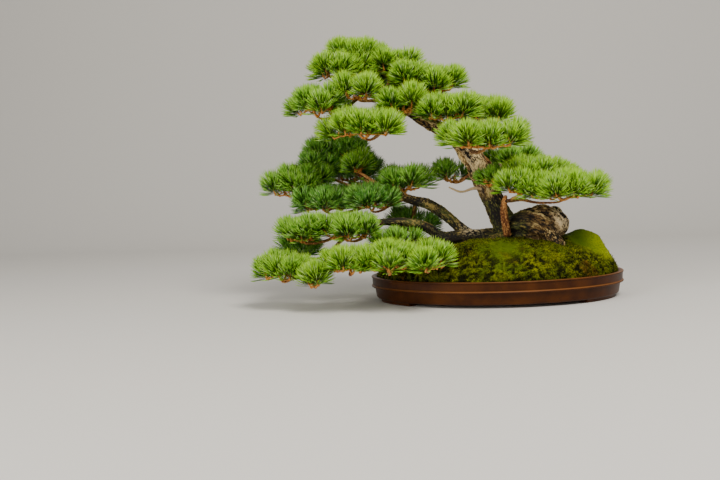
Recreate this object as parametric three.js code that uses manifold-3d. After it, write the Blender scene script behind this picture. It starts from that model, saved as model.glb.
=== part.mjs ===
// Japanese white pine bonsai (Pinus parviflora) in a shallow oval stoneware pot, in millimetres, +Z up.
// The old trunk lies on a moss mound, then rises and sweeps to the left. Every limb ends in a level
// fan of twigs whose tips turn up and carry a tuft of needles, and each fan is one foliage pad.
// X runs along the pot's long axis, Y to the back. All sizes below are about the pot's own centre.
import * as THREE from "three";
import { mergeVertices } from "three/addons/utils/BufferGeometryUtils.js";
import Module from "manifold-3d";

const wasm = await Module();
wasm.setup();

// Driving dimensions of the pot, outside
const POT_LENGTH = 480;
const POT_DEPTH = 350;
const RIM_HEIGHT = 48;
const FOOT_HEIGHT = 6;
const FLOOR_TOP = 13;
const LIP_HEIGHT = 17;
const RIM_WIDTH = 9;
const BODY_STEP = 6;
const BEAD_RADIUS = 1.3;
const FLOOR_INSET = 24;
const OVAL_SIDES = 48;
const FOOT_SPAN = 4;
const FOOT_STARTS = [2, 18, 26, 42];
const DRAIN_X = 115;
const DRAIN_RADIUS = 13;
const MESH_SIDE = 40;
const MESH_THICKNESS = 1.2;

// Driving dimensions of the ground, whose outline has half as many sides as the pot's
const GROUND_SIDES = OVAL_SIDES / 2;
const SOIL_EDGE = 37;
const MOSS_THICKNESS = 7;
const MOUND_RISE = 64;
const MOUND_SHAPE = 0.36;
const GAP = 0.35;

// Driving dimensions of the foliage
const NEEDLE_LENGTH = 38;
const NEEDLE_SPREAD = 5;
const SHOOT_RADIUS = 1.1;
const SHOOT_LENGTH = 5;
const BAND_HEIGHT = 1.9;
const TWIG_RADIUS = 1.6;
const KNUCKLE_FACE = 3.8;
const STEM_LENGTH = 9;
const NEEDLE_CLEARANCE = 1;

const V = (x, y, z) => new THREE.Vector3(x, y, z);
const UP = V(0, 0, 1);

// A seeded random draw from 0 to 1, so that every run grows the same tree
function seededRandom(seed) {
  let state = seed * 7919 + 104729;
  return () => {
    state = (state * 48271) % 2147483647;
    return state / 2147483647;
  };
}

// One closed solid from a geometry of any kind
function solidOf(geometry) {
  const bare = geometry.clone();
  bare.deleteAttribute("normal");
  bare.deleteAttribute("uv");
  const merged = mergeVertices(bare, 1e-4);
  return new wasm.Manifold(
    new wasm.Mesh({
      numProp: 3,
      vertProperties: merged.attributes.position.array,
      triVerts: new Uint32Array(merged.index.array),
    }),
  );
}

function geometryOf(solid) {
  const mesh = solid.getMesh();
  const positions = new Float32Array(mesh.numVert * 3);
  for (let i = 0; i < mesh.numVert; i++) {
    positions.set(mesh.vertProperties.subarray(i * mesh.numProp, i * mesh.numProp + 3), i * 3);
  }
  const geometry = new THREE.BufferGeometry();
  geometry.setAttribute("position", new THREE.BufferAttribute(positions, 3));
  geometry.setIndex(new THREE.BufferAttribute(mesh.triVerts, 1));
  const flat = geometry.toNonIndexed();
  flat.computeVertexNormals();
  return flat;
}

function geometryFromFaces(points, faces) {
  const geometry = new THREE.BufferGeometry().setFromPoints(points);
  geometry.setIndex(faces.flat());
  return geometry;
}

const union = (solids) => wasm.Manifold.union(solids);

function largestBody(solid) {
  return solid.decompose().reduce((a, b) => (b.volume() > a.volume() ? b : a));
}

// Faces that join rings of equal count, bottom ring first, each ring anticlockwise seen from its front end
function wallFaces(ringCount, sides) {
  const faces = [];
  for (let k = 0; k < ringCount - 1; k++) {
    for (let i = 0; i < sides; i++) {
      const j = (i + 1) % sides;
      const low = k * sides;
      const high = low + sides;
      faces.push([low + i, low + j, high + j], [low + i, high + j, high + i]);
    }
  }
  return faces;
}

// A flat cap is a fan from a ring's first point, turned to face out
function capFaces(first, sides, facesBack) {
  const faces = [];
  for (let i = 1; i < sides - 1; i++) {
    faces.push(facesBack ? [first, first + i + 1, first + i] : [first, first + i, first + i + 1]);
  }
  return faces;
}

function skin(rings) {
  const sides = rings[0].length;
  const last = (rings.length - 1) * sides;
  return geometryFromFaces(rings.flat(), [
    ...wallFaces(rings.length, sides),
    ...capFaces(0, sides, true),
    ...capFaces(last, sides, false),
  ]);
}

// The pot: rings of an oval, each set in from the outside by a stated distance

function ovalPoint(i, sides, inset, z) {
  const angle = (i / sides) * Math.PI * 2;
  return V((POT_LENGTH / 2 - inset) * Math.cos(angle), (POT_DEPTH / 2 - inset) * Math.sin(angle), z);
}

function ovalRing(sides, inset, z) {
  return Array.from({ length: sides }, (_, i) => ovalPoint(i, sides, inset, z));
}

const LIP_BOTTOM = RIM_HEIGHT - LIP_HEIGHT;

function makePot() {
  const profile = [
    [FLOOR_INSET, FOOT_HEIGHT],
    [BODY_STEP + 4, FOOT_HEIGHT],
    [BODY_STEP, LIP_BOTTOM - 3 * BEAD_RADIUS],
    [0.5, LIP_BOTTOM - 2 * BEAD_RADIUS],
    [0, LIP_BOTTOM - BEAD_RADIUS],
    [1.6, LIP_BOTTOM],
    [0.8, LIP_BOTTOM + 1],
    [0, RIM_HEIGHT - 1],
    [1, RIM_HEIGHT],
    [RIM_WIDTH, RIM_HEIGHT],
    [RIM_WIDTH + 1, RIM_HEIGHT - 1],
    [FLOOR_INSET, FLOOR_TOP],
  ];
  const shell = solidOf(skin(profile.map(([inset, z]) => ovalRing(OVAL_SIDES, inset, z))));
  const feet = FOOT_STARTS.map((start) => {
    const rings = [];
    for (let i = start; i <= start + FOOT_SPAN; i++) {
      rings.push([
        ovalPoint(i, OVAL_SIDES, BODY_STEP + 24, 0),
        ovalPoint(i, OVAL_SIDES, BODY_STEP + 9, 0),
        ovalPoint(i, OVAL_SIDES, BODY_STEP + 7, FOOT_HEIGHT + 2),
        ovalPoint(i, OVAL_SIDES, BODY_STEP + 26, FOOT_HEIGHT + 2),
      ]);
    }
    return solidOf(skin(rings.reverse()));
  });
  const drains = [-DRAIN_X, DRAIN_X].map((x) => {
    const hole = new THREE.CylinderGeometry(DRAIN_RADIUS, DRAIN_RADIUS, FLOOR_TOP * 2, 16);
    return solidOf(hole.rotateX(Math.PI / 2).translate(x, 0, FLOOR_TOP));
  });
  return union([shell, ...feet]).subtract(union(drains));
}

// Plastic mesh over each drain hole, a square with four windows, which keeps the soil in

function makeDrainMesh(x) {
  const z = FLOOR_TOP + GAP + MESH_THICKNESS / 2;
  const sheet = new THREE.BoxGeometry(MESH_SIDE, MESH_SIDE, MESH_THICKNESS).translate(x, 0, z);
  const windows = [[-6, -6], [6, -6], [6, 6], [-6, 6]].map(([dx, dy]) =>
    solidOf(new THREE.BoxGeometry(8, 8, MESH_THICKNESS * 3).translate(x + dx, dy, z)),
  );
  return solidOf(sheet).subtract(union(windows));
}

function meshRecess(x) {
  const side = MESH_SIDE + 2 * GAP;
  const height = MESH_THICKNESS + 2 * GAP;
  const box = new THREE.BoxGeometry(side, side, height);
  return solidOf(box.translate(x, 0, FLOOR_TOP + GAP + MESH_THICKNESS / 2));
}

// The ground: a steep-sided mound that slopes away to the left, with rounded moss cushions on it.
// Each cushion is [x, y, radius, height].
const CUSHIONS = [
  [170, 2, 33, 31],
  [204, -8, 16, 12],
  [16, -96, 44, 12],
  [96, -104, 26, 7],
  [-62, -84, 30, 7],
  [-150, 40, 34, 6],
  [70, 96, 40, 9],
  [-40, 110, 34, 6],
  [186, -62, 18, 7],
];

// The ground ends just inside the pot's wall, at the height of the soil's edge
const WALL_SLOPE = (FLOOR_INSET - RIM_WIDTH - 1) / (RIM_HEIGHT - 1 - FLOOR_TOP);
const GROUND_INSET = RIM_WIDTH + 1 + (RIM_HEIGHT - 1 - SOIL_EDGE) * WALL_SLOPE + GAP;

// Height of the soil's top above the surface that the pot stands on
function soilTop(x, y) {
  const a = POT_LENGTH / 2 - GROUND_INSET;
  const b = POT_DEPTH / 2 - GROUND_INSET;
  const edge = Math.max(0, 1 - (x / a) ** 2 - (y / b) ** 2);
  const slope = 0.79 + 0.21 * Math.tanh((x + 112) / 60);
  const cushions = CUSHIONS.reduce(
    (sum, [cx, cy, r, h]) => sum + h * Math.exp(-((x - cx) ** 2 + (y - cy) ** 2) / (2 * r * r)),
    0,
  );
  const ripple = 1.6 * Math.sin(x / 13 + 1.3) * Math.cos(y / 11) + 1.2 * Math.sin((x + y) / 8);
  return SOIL_EDGE + (MOUND_RISE * slope + ripple) * edge ** MOUND_SHAPE + cushions * Math.min(1, 4 * edge);
}

const mossTop = (x, y) => soilTop(x, y) + MOSS_THICKNESS;

// Rings of ground from the pot's inner wall to the middle, at a height worked out by a formula. Soil and
// moss share them, so that the moss lies on the soil at an even small gap.
const GROUND_RINGS = [1, 0.95, 0.86, 0.73, 0.42];

function groundRings(height, lift) {
  const raised = (x, y) => V(x, y, height(x, y) + lift);
  return GROUND_RINGS.map((share) =>
    ovalRing(GROUND_SIDES, GROUND_INSET, 0).map((p) => raised(p.x * share, p.y * share)),
  );
}

function makeSoil() {
  const floor = ovalRing(GROUND_SIDES, FLOOR_INSET + GAP, FLOOR_TOP + GAP);
  const rings = [floor, ...groundRings(soilTop, 0)];
  return solidOf(skin(rings)).subtract(union([meshRecess(-DRAIN_X), meshRecess(DRAIN_X)]));
}

function makeMoss() {
  const underside = groundRings(soilTop, GAP);
  const top = groundRings(mossTop, 0);
  const count = underside.length * GROUND_SIDES;
  const surface = [
    ...wallFaces(underside.length, GROUND_SIDES),
    ...capFaces(count - GROUND_SIDES, GROUND_SIDES, false),
  ];
  const edge = [];
  for (let i = 0; i < GROUND_SIDES; i++) {
    const j = (i + 1) % GROUND_SIDES;
    edge.push([i, j, count + j], [i, count + j, count + i]);
  }
  return solidOf(
    geometryFromFaces(
      [...underside.flat(), ...top.flat()],
      [
        ...surface.map(([a, b, c]) => [a, c, b]),
        ...surface.map((face) => face.map((i) => i + count)),
        ...edge,
      ],
    ),
  );
}

// Limbs: each is a list of points [x, y, z, radius] that its bark is swept along.
const LIMBS = {
  trunk: [
    [34, 4, 76, 25], [31, 6, 104, 26], [21, 10, 138, 23], [5, 12, 176, 20], [-9, 14, 212, 21],
    [-23, 13, 246, 23], [-44, 10, 282, 19], [-68, 6, 308, 15], [-100, 2, 329, 13.5], [-134, 0, 349, 11.5],
    [-166, 0, 374, 10], [-198, 0, 402, 8], [-222, -2, 424, 6.5],
  ],
  base: [
    [12, 4, 108, 18], [38, 0, 124, 31], [72, -6, 134, 35], [102, -10, 136, 34], [124, -12, 131, 26],
    [137, -14, 123, 15],
  ],
  root_right: [[96, -16, 128, 18], [112, -38, 108, 14], [126, -56, 88, 10], [134, -68, 74, 6]],
  stub: [[-16, 10, 236, 11], [4, 4, 248, 8], [20, 0, 252, 5.5]],
  root_down: [[42, 0, 110, 28], [42, 2, 84, 22], [40, 4, 62, 13]],
  root_left: [
    [30, 6, 108, 22], [0, 6, 113, 17], [-32, 3, 116, 14], [-62, -2, 118, 13], [-90, -10, 117, 12],
    [-112, -20, 107, 8],
  ],
  limb_high: [
    [-36, 4, 116, 11], [-58, 5, 130, 11], [-80, 7, 151, 10], [-104, 9, 170, 10.5], [-128, 11, 184, 10],
    [-152, 12, 190, 9], [-174, 12, 198, 8], [-190, 12, 205, 6],
  ],
  limb_front: [
    [-60, -2, 117, 11], [-96, -26, 116, 10], [-134, -52, 111, 9.5], [-178, -76, 102, 9], [-228, -92, 90, 8],
    [-280, -98, 78, 7], [-326, -96, 68, 6], [-356, -94, 62, 5],
  ],
  limb_low: [
    [-78, -6, 117, 11], [-102, -12, 122, 10], [-124, -16, 137, 9], [-148, -18, 147, 8.5], [-180, -20, 152, 8],
    [-216, -22, 152, 7], [-248, -26, 148, 6],
  ],
  riser: [
    [25, -28, 116, 8.5], [22, -36, 140, 7.2], [19, -40, 164, 6.4], [20, -44, 182, 5.4], [23, -50, 196, 3.2],
  ],
  dead_twig: [[-10, 8, 206, 4], [-34, -4, 211, 2.8], [-60, -8, 205, 2.2], [-84, -8, 215, 1.3]],
};
const LIMB_SIDES = { trunk: 9, base: 9, root_left: 7, riser: 5, dead_twig: 3 };
const LIMB_STEP = { trunk: 20, base: 18, root_down: 30 };

// Pads: the limb that each grows from, how far along it, the middle of its fan of twigs, the fan's half
// length and half depth, how far its middle rises above its edge, and its number of tufts.
const PADS = [
  ["apex_left", "trunk", 1, [-286, -22, 434], [36, 34], 6, 6],
  ["apex_top", "trunk", 0.98, [-256, 8, 460], [38, 34], 10, 6],
  ["apex_right", "trunk", 0.92, [-180, 20, 442], [34, 32], 6, 4],
  ["finger_left", "trunk", 0.955, [-328, -52, 360], [48, 26], 20, 6],
  ["crown_middle", "trunk", 0.89, [-236, -62, 388], [30, 24], 5, 4],
  ["lower_left", "trunk", 0.79, [-216, -88, 315], [62, 28], 14, 6],
  ["crown_front", "trunk", 0.83, [-166, -48, 358], [24, 24], 6, 4],
  ["crown_inner", "trunk", 0.86, [-150, -22, 406], [24, 24], 6, 4],
  ["shoulder_top", "trunk", 0.76, [-101, 18, 401], [33, 32], 8, 5],
  ["shoulder_front", "trunk", 0.66, [-82, -52, 343], [38, 28], 8, 5],
  ["shoulder_right", "trunk", 0.58, [-9, 10, 336], [35, 34], 8, 6],
  ["right_front", "trunk", 0.49, [-9, -100, 287], [60, 30], 5, 7],
  ["right_outer", "riser", 0.8, [129, -72, 188], [57, 36], 10, 7],
  ["right_upper", "trunk", 0.4, [70, -30, 220], [38, 36], 9, 6],
  ["right_inner", "riser", 0.8, [48, -84, 201], [20, 20], 5, 3],
  ["right_back", "trunk", 0.5, [44, 84, 247], [40, 30], 6, 3],
  ["small_left", "trunk", 0.4, [-79, 52, 227], [22, 22], 7, 3],
  ["trunk_tuft", "trunk", 0.42, [-4, -36, 218], [3, 3], 2, 1],
  ["dark_crown", "limb_high", 0.86, [-308, 82, 280], [38, 28], 14, 5],
  ["dark_slope", "limb_high", 0.96, [-350, 58, 255], [32, 28], 12, 4],
  ["dark_right", "limb_high", 0.84, [-267, 44, 254], [16, 16], 4, 2],
  ["dark_upper", "limb_high", 0.92, [-296, 92, 237], [46, 30], 7, 4],
  ["left_tip", "limb_high", 1, [-403, 2, 211], [28, 28], 9, 4],
  ["left_step", "limb_high", 0.96, [-366, 20, 226], [28, 24], 6, 3],
  ["middle_left", "limb_high", 0.88, [-328, 18, 177], [52, 30], 14, 6],
  ["middle_right", "limb_high", 0.8, [-240, -18, 176], [36, 28], 14, 4],
  ["limb_top", "limb_high", 0.76, [-181, 12, 212], [37, 30], 14, 6],
  ["limb_under", "limb_high", 0.66, [-166, 66, 130], [34, 24], 6, 3],
  ["low_left", "limb_low", 1, [-356, -62, 124], [33, 28], 8, 5],
  ["low_middle", "limb_low", 0.8, [-280, -78, 124], [42, 28], 12, 6],
  ["low_back", "limb_low", 0.9, [-374, -6, 86], [38, 26], 8, 3],
  ["front_left", "limb_front", 1, [-390, -108, 54], [38, 30], 20, 6],
  ["front_left_inner", "limb_front", 0.86, [-324, -158, 48], [28, 22], 5, 3],
  ["front_rim", "limb_front", 0.68, [-260, -160, 72], [34, 28], 14, 4],
  ["front_middle", "limb_front", 0.5, [-184, -170, 71], [42, 28], 16, 6],
  ["front_right", "limb_front", 0.3, [-122, -176, 74], [36, 22], 12, 4],
  ["front_back", "limb_front", 0.4, [-172, -52, 98], [34, 26], 7, 3],
  ["back_crown", "trunk", 0.85, [-213, 78, 414], [40, 30], 6, 3],
  ["back_shoulder", "trunk", 0.7, [-120, 88, 366], [40, 30], 6, 3],
  ["back_right", "trunk", 0.42, [96, 44, 206], [38, 32], 6, 3],
  ["back_left", "limb_high", 0.84, [-256, 112, 186], [42, 30], 6, 3],
];

// A smooth centreline through a limb's points, with its radius as a function of the way along
function limbCurve(points) {
  const curve = new THREE.CatmullRomCurve3(points.map(([x, y, z]) => V(x, y, z)), false, "centripetal");
  const radius = (t) => {
    const at = t * (points.length - 1);
    const i = Math.min(points.length - 2, Math.floor(at));
    return THREE.MathUtils.lerp(points[i][3], points[i + 1][3], at - i);
  };
  return { curve, radius };
}

// Rings of bark: each point stands out or sinks in by a share of the radius, in long ridges that run
// along the limb and break up as they go. extra makes the same skin a little larger.
function barkRings({ curve, radius }, steps, sides, relief, seed, extra) {
  const random = seededRandom(seed);
  const ridge = Array.from({ length: sides }, () => random() * 2 - 1);
  const frames = curve.computeFrenetFrames(steps, false);
  const rings = [];
  for (let k = 0; k <= steps; k++) {
    const t = k / steps;
    const centre = curve.getPoint(t);
    const ring = [];
    for (let i = 0; i < sides; i++) {
      ridge[i] = THREE.MathUtils.clamp(ridge[i] * 0.7 + (random() * 2 - 1) * 0.6, -1, 1);
      const size = radius(t) * (1 + relief * ridge[i]) + extra;
      const angle = (i / sides) * Math.PI * 2;
      ring.push(
        centre
          .clone()
          .addScaledVector(frames.normals[k], size * Math.cos(angle))
          .addScaledVector(frames.binormals[k], size * Math.sin(angle)),
      );
    }
    rings.push(ring);
  }
  const back = frames.tangents[0].clone().multiplyScalar(-extra);
  rings[0].forEach((p) => p.add(back));
  rings[steps].forEach((p) => p.addScaledVector(frames.tangents[steps], extra));
  return rings;
}

// The branch from a limb to a pad leaves along the limb, sags, and comes in under the middle of the fan.
// It stops short of the middle by the length of the pad's own stem.
function branchTo([name, parent, share, hub]) {
  const limb = limbCurve(LIMBS[parent]);
  const from = limb.curve.getPoint(share);
  const hubPoint = V(...hub);
  const reach = from.distanceTo(hubPoint);
  const along = limb.curve.getTangent(share);
  const level = hubPoint.clone().sub(from).setZ(0).normalize();
  const arrive = level.clone().add(UP.clone().multiplyScalar(0.45)).normalize();
  const end = hubPoint.clone().addScaledVector(arrive, -STEM_LENGTH);
  const startHandle = from.clone().addScaledVector(along.lerp(level, 0.8).normalize(), reach * 0.33);
  const endHandle = end.clone().addScaledVector(arrive, -reach * 0.3);
  const curve = new THREE.CubicBezierCurve3(from, startHandle, endHandle, end);
  const rootRadius = Math.min(limb.radius(share) * 0.8, 3 + reach * 0.028);
  const radius = (t) => THREE.MathUtils.lerp(rootRadius, 2.3, t ** 0.7);
  return { name, curve, radius, reach, end, arrive };
}

const branches = PADS.map(branchTo);

function woodPieces(extra) {
  const limbs = Object.entries(LIMBS).map(([name, points], n) => {
    const limb = limbCurve(points);
    const steps = Math.max(2, Math.round(limb.curve.getLength() / (LIMB_STEP[name] ?? 24)));
    const sides = LIMB_SIDES[name] ?? 6;
    const relief = name === "dead_twig" ? 0.1 : 0.13;
    return solidOf(skin(barkRings(limb, steps, sides, relief, n + 1, extra)));
  });
  const twigs = branches.map((branch, n) => {
    const steps = Math.max(3, Math.round(branch.reach / 46));
    return solidOf(skin(barkRings(branch, steps, 4, 0.06, n + 51, extra)));
  });
  return [...limbs, ...twigs];
}

// Everything that a twig or needle has to miss: capsules along limbs, branches, twigs and needles, each
// with the pad and the arm that it belongs to
const obstacles = [];

function addObstacle(a, b, radius, pad, arm) {
  const box = new THREE.Box3().setFromPoints([a, b]).expandByScalar(radius);
  obstacles.push({ a, b, radius, pad, arm, box });
}

function addCurveObstacles({ curve, radius }, pad, pieces) {
  for (let k = 0; k < pieces; k++) {
    const a = curve.getPoint(k / pieces);
    const b = curve.getPoint((k + 1) / pieces);
    addObstacle(a, b, radius((k + 0.5) / pieces) * 1.15, pad);
  }
}

// Shortest distance between two straight segments
function segmentDistance(p1, q1, p2, q2) {
  const d1 = q1.clone().sub(p1);
  const d2 = q2.clone().sub(p2);
  const r = p1.clone().sub(p2);
  const a = d1.dot(d1);
  const e = d2.dot(d2);
  const f = d2.dot(r);
  const c = d1.dot(r);
  const b = d1.dot(d2);
  const denominator = a * e - b * b;
  let s = denominator > 1e-9 ? THREE.MathUtils.clamp((b * f - c * e) / denominator, 0, 1) : 0;
  let t = (b * s + f) / e;
  if (t < 0 || t > 1) {
    t = THREE.MathUtils.clamp(t, 0, 1);
    s = THREE.MathUtils.clamp((b * t - c) / a, 0, 1);
  }
  return p1.clone().addScaledVector(d1, s).distanceTo(p2.clone().addScaledVector(d2, t));
}

// A needle keeps clear of the moss, and of the pot where it hangs over the rim
function clearOfGround(point) {
  const inside = (point.x / (POT_LENGTH / 2 + 4)) ** 2 + (point.y / (POT_DEPTH / 2 + 4)) ** 2 < 1;
  return inside ? point.z > Math.max(RIM_HEIGHT, mossTop(point.x, point.y)) + 2.5 : point.z > 8;
}

function clearOfAll(a, b, margin, isOwn) {
  const box = new THREE.Box3().setFromPoints([a, b]).expandByScalar(margin);
  const middle = a.clone().lerp(b, 0.5);
  if (![a, middle, b].every(clearOfGround)) return false;
  return !obstacles.some(
    (o) => !isOwn(o) && o.box.intersectsBox(box) && segmentDistance(a, b, o.a, o.b) < o.radius + margin,
  );
}

// Where the tufts of a pad stand: an even golden-angle spread over the fan's oval, a dome in height
const GOLDEN_ANGLE = Math.PI * (3 - Math.sqrt(5));

function tuftPlace([, , , hub, reach, dome, count], i, turn) {
  const share = count === 1 ? 0 : Math.sqrt((i + 0.6) / count);
  const angle = i * GOLDEN_ANGLE + hub[0] + turn;
  const x = reach[0] * share * Math.cos(angle);
  const y = reach[1] * share * Math.sin(angle);
  const lean = V(x / reach[0], y / reach[1], 0).multiplyScalar(0.55);
  const foot = V(hub[0] + x, hub[1] + y, hub[2] + dome * (1 - share * share) + 2);
  const axis = lean.add(UP).normalize();
  return { arm: i, foot, axis, tip: foot.clone().addScaledVector(axis, SHOOT_LENGTH) };
}

// A twig that would meet another pad's twig or a limb is swung round to where it is clear
function tuftPlaces(pad) {
  const hub = V(...pad[3]);
  const isOwn = (o) => o.pad === pad[0];
  return Array.from({ length: pad[6] }, (_, i) => {
    const turns = [0, 0.3, -0.3, 0.6, -0.6, 0.9, -0.9, 1.2, -1.2];
    const tries = turns.map((turn) => tuftPlace(pad, i, turn));
    const clear = tries.find(
      ({ foot, tip }) => clearOfAll(hub, foot, 3, isOwn) && clearOfAll(foot, tip, 3, isOwn),
    );
    const place = clear ?? tries[0];
    addObstacle(hub, place.foot, TWIG_RADIUS, pad[0], i);
    addObstacle(place.foot, place.tip, TWIG_RADIUS, pad[0], i);
    return place;
  });
}

// Three points round a place on an arm, the first two below and the third above where the arm is level
function armRing(centre, along, side, radius, turn) {
  const across = side.clone().addScaledVector(along, -side.dot(along)).normalize();
  const over = new THREE.Vector3().crossVectors(along, across);
  return [210, 330, 450].map((degrees) => {
    const angle = THREE.MathUtils.degToRad(degrees + turn);
    return centre
      .clone()
      .addScaledVector(across, radius * Math.cos(angle))
      .addScaledVector(over, radius * Math.sin(angle));
  });
}

// An arm is drawn out of a face of the knuckle to a tuft's foot, turns up as an orange shoot, and ends in
// a three-sided tip. Rings of the tip are turned against each other, so that its faces point all round.
function armRings(angle, hub, { foot, axis, tip }) {
  const side = V(-Math.sin(angle), Math.cos(angle), 0);
  const bend = foot.clone().sub(hub).normalize().add(axis).normalize();
  const bands = [1, 2].map((band) => tip.clone().addScaledVector(axis, band * BAND_HEIGHT));
  return [
    armRing(foot, bend, side, TWIG_RADIUS * 0.8, 0),
    armRing(tip, axis, side, SHOOT_RADIUS, 0),
    armRing(bands[0], axis, side, SHOOT_RADIUS, 60),
    armRing(bands[1], axis, side, SHOOT_RADIUS, 120),
  ];
}

function tubeFaces(low, high) {
  return [0, 1, 2].flatMap((i) => {
    const j = (i + 1) % 3;
    return [[low[i], low[j], high[j]], [low[i], high[j], high[i]]];
  });
}

// Faces of the tip, from its foot ring to its point: every one of them can carry a needle
function tipFaces(foot, middle, top, apex) {
  const band = (low, high) =>
    [0, 1, 2].flatMap((i) => {
      const j = (i + 1) % 3;
      return [[low[i], low[j], high[i]], [low[j], high[j], high[i]]];
    });
  const point = [0, 1, 2].map((i) => [top[i], top[(i + 1) % 3], apex]);
  return [...band(foot, middle), ...band(middle, top), ...point];
}

// Each face of the tip is drawn out into a three-sided needle. The lower a face lies, the further its
// needle leans out. A needle that would meet anything is turned or shortened, and else left out.
function raiseNeedle(points, face, { tip, axis, arm }, pad, random) {
  const [a, b, c] = face.map((i) => points[i]);
  const middle = a.clone().add(b).add(c).divideScalar(3);
  const out = middle.clone().sub(tip);
  const height = out.dot(axis) / (BAND_HEIGHT * 2.6);
  out.addScaledVector(axis, -out.dot(axis)).normalize();
  const lean = THREE.MathUtils.lerp(1.45, 0.35, THREE.MathUtils.clamp(height, 0, 1));
  const side = new THREE.Vector3().crossVectors(axis, out);
  const isOwn = (o) => o.pad === pad && o.arm === arm;
  for (let attempt = 0; attempt < 8; attempt++) {
    const tilt = lean + (random() - 0.5) * 0.3;
    const turn = (random() - 0.5) * 0.5;
    const direction = axis
      .clone()
      .multiplyScalar(Math.cos(tilt))
      .addScaledVector(out, Math.sin(tilt) * Math.cos(turn))
      .addScaledVector(side, Math.sin(tilt) * Math.sin(turn));
    const length = NEEDLE_LENGTH + (random() - 0.5) * 2 * NEEDLE_SPREAD - attempt * 1.5;
    const end = middle.clone().addScaledVector(direction, length);
    if (clearOfAll(middle, end, NEEDLE_CLEARANCE, isOwn)) {
      addObstacle(middle, end, 0.5, pad, arm);
      return end;
    }
  }
  return null;
}

// Adds an arm's points and faces to a pad's, in place of the knuckle's face that it is drawn out of
function growArm(points, faces, base, angle, hub, place, pad, random) {
  const [foot, start, middle, top] = armRings(angle, hub, place).map((ring) =>
    ring.map((point) => points.push(point) - 1),
  );
  const apex = points.push(place.tip.clone().addScaledVector(place.axis, BAND_HEIGHT * 2.7)) - 1;
  faces.push(...tubeFaces(base, foot), ...tubeFaces(foot, start));
  for (const face of tipFaces(start, middle, top, apex)) {
    const end = raiseNeedle(points, face, place, pad, random);
    if (end) {
      const [a, b, c] = face;
      const e = points.push(end) - 1;
      faces.push([a, b, e], [b, c, e], [c, a, e]);
    } else {
      faces.push(face);
    }
  }
}

// Limbs, branches and every twig are registered before the first needle is raised
for (const points of Object.values(LIMBS)) {
  addCurveObstacles(limbCurve(points), "limb", 10);
}
for (const branch of branches) {
  addCurveObstacles(branch, branch.name, 8);
}
const places = PADS.map(tuftPlaces);

// A pad is one skin: its stem stands on the branch's end and widens to a knuckle, and each arm of the
// fan is drawn out of one face of the knuckle. Corners of the knuckle lie midway between the arms.
function makePad(pad, n) {
  const random = seededRandom(n + 11);
  const hub = V(...pad[3]);
  const arms = places[n].map((place) => {
    return { place, angle: Math.atan2(place.foot.y - hub.y, place.foot.x - hub.x) };
  });
  while (arms.length < 3) {
    arms.push({ angle: ((arms[arms.length - 1].angle + 3 * Math.PI + 2.1) % (2 * Math.PI)) - Math.PI });
  }
  arms.sort((a, b) => a.angle - b.angle);
  const count = arms.length;
  const corners = arms.map(({ angle }, i) => {
    const before = i > 0 ? arms[i - 1].angle : arms[count - 1].angle - 2 * Math.PI;
    return (angle + before) / 2;
  });
  const radius = KNUCKLE_FACE / 2 / Math.sin(Math.PI / count);
  const level = (angle) => V(Math.cos(angle), Math.sin(angle), 0);
  const { end, arrive } = branches[n];
  const stemStart = end.clone().addScaledVector(arrive, GAP);
  const stem = corners.map((angle) => {
    const out = level(angle).projectOnPlane(arrive).normalize();
    return stemStart.clone().addScaledVector(out, 2.2);
  });
  const lower = corners.map((angle) => hub.clone().addScaledVector(level(angle), radius).add(V(0, 0, -1.4)));
  const upper = arms.map(({ angle }) => {
    return hub.clone().addScaledVector(level(angle), radius * 0.8).add(V(0, 0, 2));
  });
  const points = [...stem, ...lower, ...upper];
  const faces = [
    ...capFaces(0, count, true),
    ...wallFaces(2, count),
    ...capFaces(2 * count, count, false),
  ];
  arms.forEach(({ angle, place }, i) => {
    const j = (i + 1) % count;
    const base = [count + i, count + j, 2 * count + i];
    faces.push([count + j, 2 * count + j, 2 * count + i]);
    if (place) growArm(points, faces, base, angle, hub, place, pad[0], random);
    else faces.push(base);
  });
  return solidOf(geometryFromFaces(points, faces));
}

// Assembly
const bark = new THREE.MeshStandardMaterial({ color: 0x6b5a48, roughness: 0.95, metalness: 0 });
const needles = new THREE.MeshStandardMaterial({ color: 0x5b8f2e, roughness: 0.5, metalness: 0 });
const mossGreen = new THREE.MeshStandardMaterial({ color: 0x5c6a1c, roughness: 1, metalness: 0 });
const akadama = new THREE.MeshStandardMaterial({ color: 0x5a4030, roughness: 1, metalness: 0 });
const stoneware = new THREE.MeshStandardMaterial({ color: 0x6a3d22, roughness: 0.6, metalness: 0 });
const plastic = new THREE.MeshStandardMaterial({ color: 0x202224, roughness: 0.6, metalness: 0 });

const tree = new THREE.Group();

function addPart(name, solid, material) {
  const mesh = new THREE.Mesh(geometryOf(solid), material);
  mesh.name = name;
  tree.add(mesh);
}

const wood = union(woodPieces(0));
const socket = union(woodPieces(GAP));
addPart("pot", makePot(), stoneware);
addPart("drain_mesh_left", makeDrainMesh(-DRAIN_X), plastic);
addPart("drain_mesh_right", makeDrainMesh(DRAIN_X), plastic);
addPart("soil", largestBody(makeSoil().subtract(socket)), akadama);
addPart("moss", largestBody(makeMoss().subtract(socket)), mossGreen);
addPart("wood", wood, bark);
PADS.forEach((pad, n) => addPart("pad_" + pad[0], makePad(pad, n), needles));

// The whole object's box is centred on the origin and stands on it
const box = new THREE.Box3().setFromObject(tree);
const centre = box.getCenter(V(0, 0, 0));
tree.position.set(-centre.x, -centre.y, 0);

const root = new THREE.Group();
root.add(tree);

export default root;
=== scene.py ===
"""An old Japanese white pine, trained to lean and sweep to the left, in a shallow oval clay pot.

Sizes and places are in millimetres about the middle of the pot, at the surface that it stands on: X along
the pot, Y to the back, Z up. make_piece turns them to the frame's metres. The points of a surface are the
rows of one array, worked out together. The pot's size and every pad's place and size come from the frame's
boxes, and the ground and limbs follow the same rules as the solids do.
"""

import math

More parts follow.
